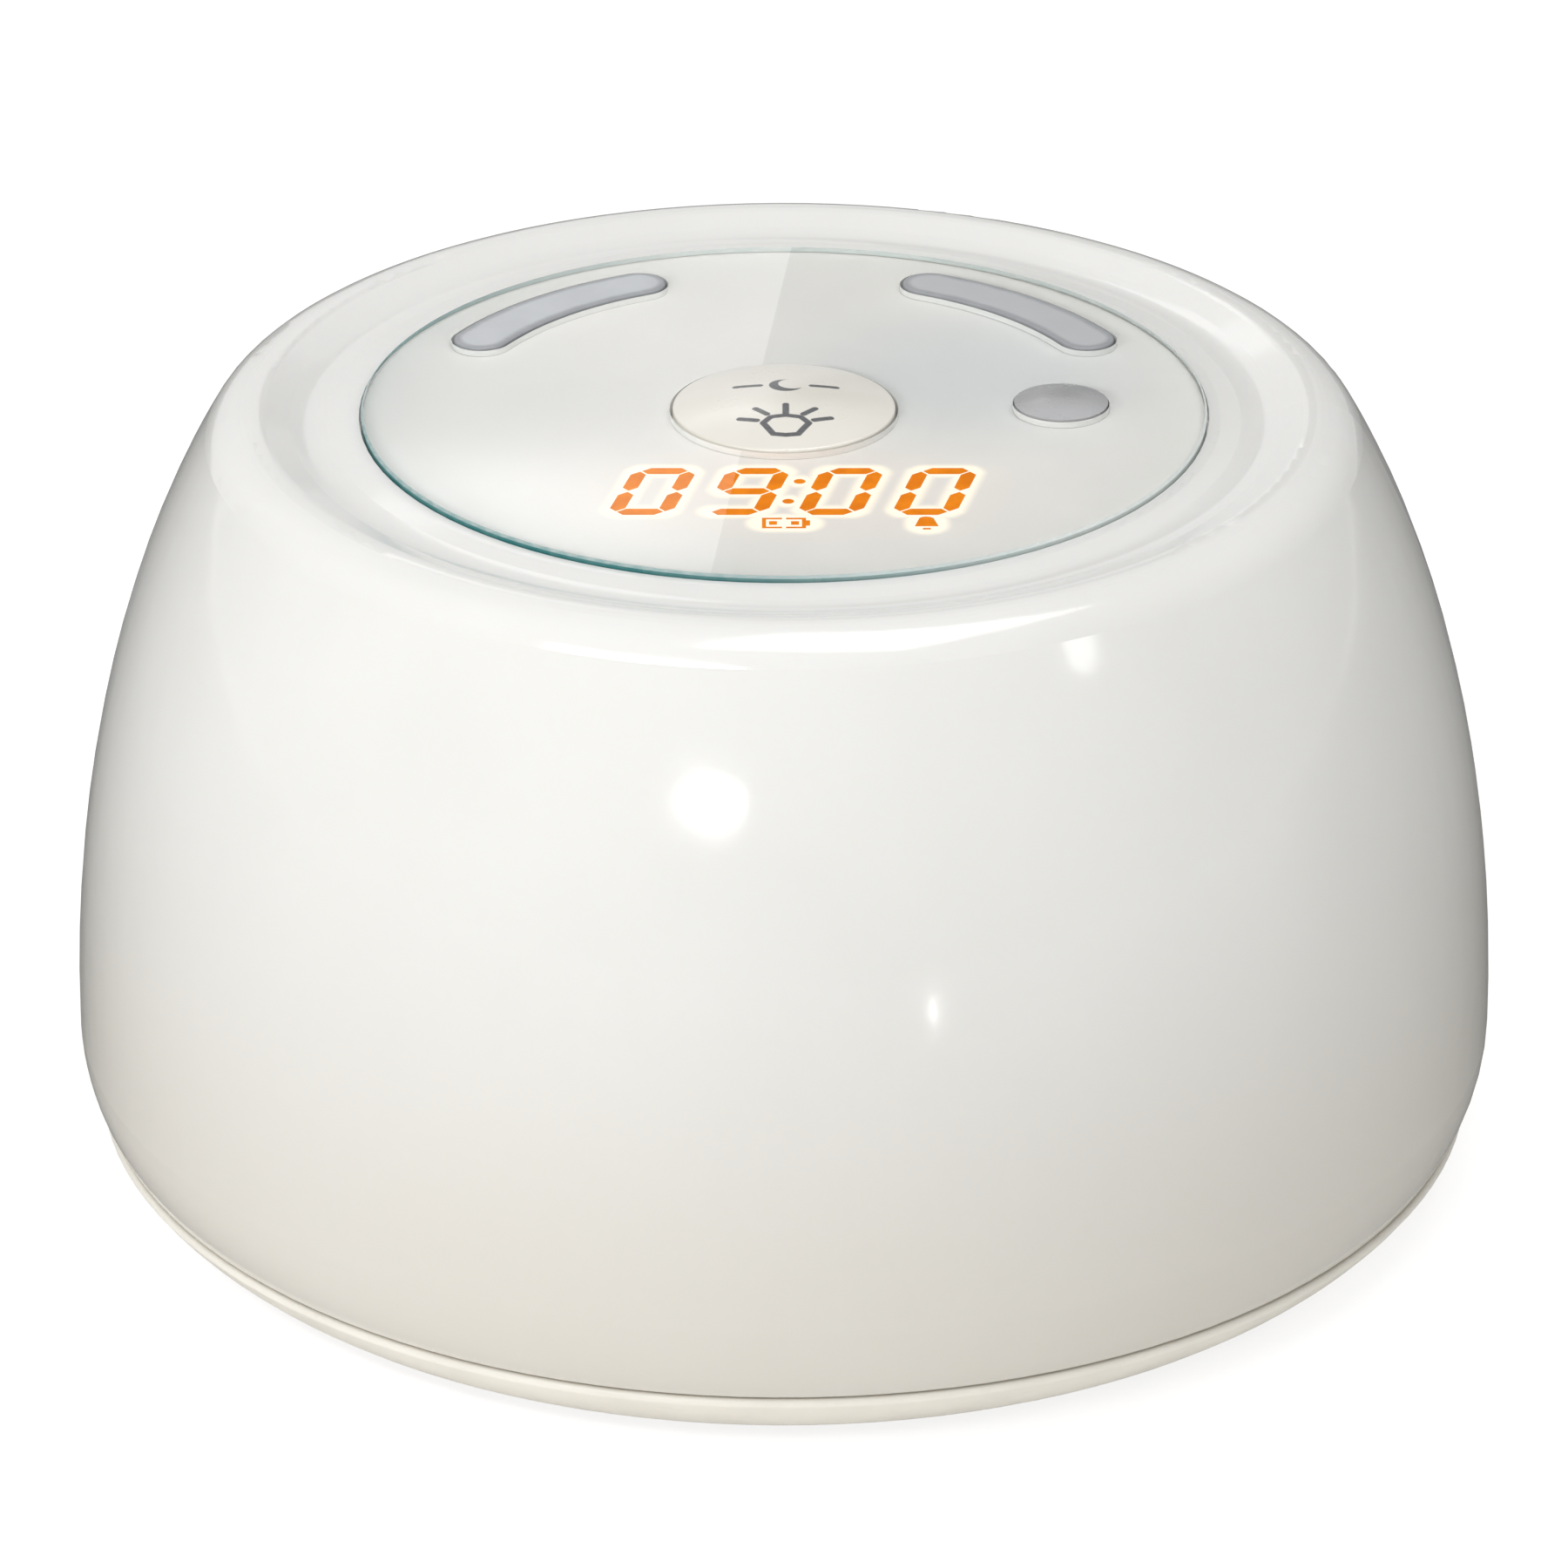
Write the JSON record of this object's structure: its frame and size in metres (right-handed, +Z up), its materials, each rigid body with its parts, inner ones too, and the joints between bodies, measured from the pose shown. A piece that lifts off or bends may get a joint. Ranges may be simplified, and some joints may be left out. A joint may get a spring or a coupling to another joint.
{
  "type": "night light alarm clock",
  "caption": "Squat round milk-white bedside lamp with a flush clock glass on top: lit time digits, domed push button, curved bar keys and a sensor lens, on a thin base.",
  "frame": {"origin": "on the floor under the middle of the round body", "axes": "+Z up, the display is read from -Y, the sensor lens is at +X"},
  "size_m": [0.15, 0.15, 0.0853],
  "materials": {
    "shell_white": "milk-white, glossy",
    "base_cream": "cream, satin",
    "clear_glass": "clear with a green edge",
    "film_white": "pale print under glass",
    "lit_orange": "lit from behind",
    "button_ivory": "ivory, satin",
    "key_grey": "light grey, satin",
    "lens_grey": "grey, glossy",
    "inner_white": "moulded white",
    "part_black": "black moulding",
    "board_green": "solder mask",
    "bare_steel": "plated steel",
    "sleeve_blue": "shrink sleeve",
    "socket_white": "natural nylon",
    "wire_jacket": "soft jacket",
    "led_white": "white package",
    "cell_wrap": "printed wrap",
    "paper_cone": "coated paper",
    "foot_rubber": "soft rubber"
  },
  "bodies": {
    "housing": {"diffuser_shell": "shell_white", "base_tray": "base_cream", "top_glass": "clear_glass", "face_film": "film_white", "lit_segments": "lit_orange", "sensor_lens": "lens_grey", "clock_carrier": "inner_white", "clock_cover": "inner_white", "carrier_screws": "bare_steel", "display_module": "part_black", "clock_board": "board_green", "board_screws": "bare_steel", "snooze_switch": "part_black", "left_switch": "part_black", "right_switch": "part_black", "motion_sensor": "bare_steel", "clock_chip": "part_black", "crystal_can": "bare_steel", "capacitor": "sleeve_blue", "clock_socket": "socket_white", "lamp_socket": "socket_white", "clock_lead": "wire_jacket", "lamp_board": "board_green", "lamp_leds": "led_white", "lamp_screws": "bare_steel", "battery_cells": "cell_wrap", "battery_contacts": "bare_steel", "battery_leads": "wire_jacket", "speaker_frame": "bare_steel", "speaker_cone": "paper_cone", "speaker_magnet": "bare_steel", "speaker_leads": "wire_jacket", "base_screws": "bare_steel", "rubber_feet": "foot_rubber"},
    "snooze": {"snooze_button": "button_ivory", "snooze_plunger": "inner_white"},
    "left_bar": {"left_key": "key_grey", "left_plunger": "inner_white"},
    "right_bar": {"right_key": "key_grey", "right_plunger": "inner_white"},
    "cell_door": {"battery_door": "base_cream"}
  },
  "joints": [
    {"name": "snooze_press", "type": "slide", "parent": "housing", "child": "snooze", "axis": [0, 0, -1], "range_m": [0, 0.001], "stiffness_N_per_m": 800, "springref_m": -0.001},
    {"name": "left_key_press", "type": "slide", "parent": "housing", "child": "left_bar", "axis": [0, 0, -1], "range_m": [0, 0.001], "stiffness_N_per_m": 800, "springref_m": -0.001},
    {"name": "right_key_press", "type": "slide", "parent": "housing", "child": "right_bar", "axis": [0, 0, -1], "range_m": [0, 0.001], "stiffness_N_per_m": 800, "springref_m": -0.001},
    {"name": "door_lift", "type": "slide", "parent": "housing", "child": "cell_door", "axis": [0, 0, -1], "range_m": [0, 0.025]}
  ]
}
